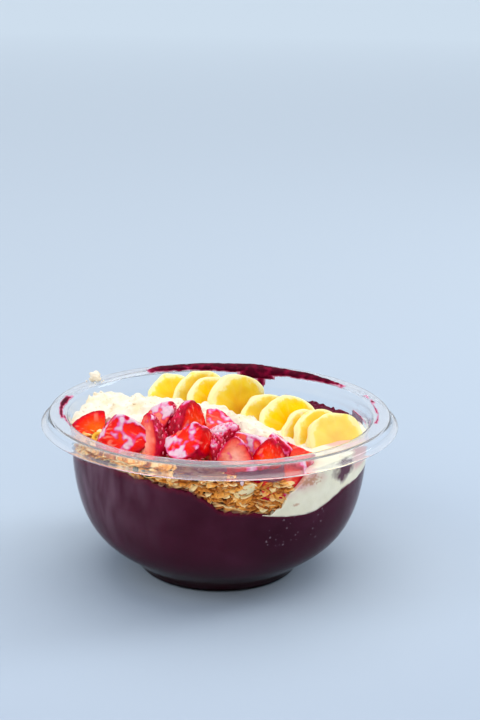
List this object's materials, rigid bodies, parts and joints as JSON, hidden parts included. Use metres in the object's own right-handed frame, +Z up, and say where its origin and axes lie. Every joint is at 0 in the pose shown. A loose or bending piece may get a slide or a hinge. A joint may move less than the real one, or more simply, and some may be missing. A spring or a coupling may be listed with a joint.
{
  "type": "acai bowl",
  "caption": "Clear take-away bowl of acai with granola, cream and milk powder, topped with cut strawberries and a leaning row of banana slices.",
  "frame": {"origin": "centre of the bowl's foot, on the surface it stands on", "axes": "+Z up through the bowl's axis; -Y towards the side where the granola shows through the wall; +X to the right seen from that side"},
  "size_m": [0.165, 0.165, 0.0899],
  "materials": {
    "clear_pet": "clear, glossy, thermoformed PET sheet",
    "acai": "smooth, moist, slightly frosty purple pulp",
    "cream": "smooth milk cream",
    "granola": "toasted oat flakes and clusters",
    "milk_powder": "dry clumped powder",
    "strawberry": "wet cut fruit, seeded skin",
    "banana": "moist cut fruit"
  },
  "bodies": {
    "root": {"bowl": "clear_pet", "acai": "acai", "cream": "cream", "granola": "granola", "milk_powder": "milk_powder", "strawberry_01": "strawberry", "strawberry_02": "strawberry", "strawberry_03": "strawberry", "strawberry_04": "strawberry", "strawberry_05": "strawberry", "strawberry_06": "strawberry", "strawberry_07": "strawberry", "strawberry_08": "strawberry", "strawberry_09": "strawberry", "strawberry_10": "strawberry", "strawberry_11": "strawberry", "strawberry_12": "strawberry", "strawberry_13": "strawberry", "strawberry_14": "strawberry", "strawberry_15": "strawberry", "strawberry_16": "strawberry", "banana_01": "banana", "banana_02": "banana", "banana_03": "banana", "banana_04": "banana", "banana_05": "banana", "banana_06": "banana", "banana_07": "banana", "banana_08": "banana", "banana_09": "banana"}
  },
  "joints": []
}
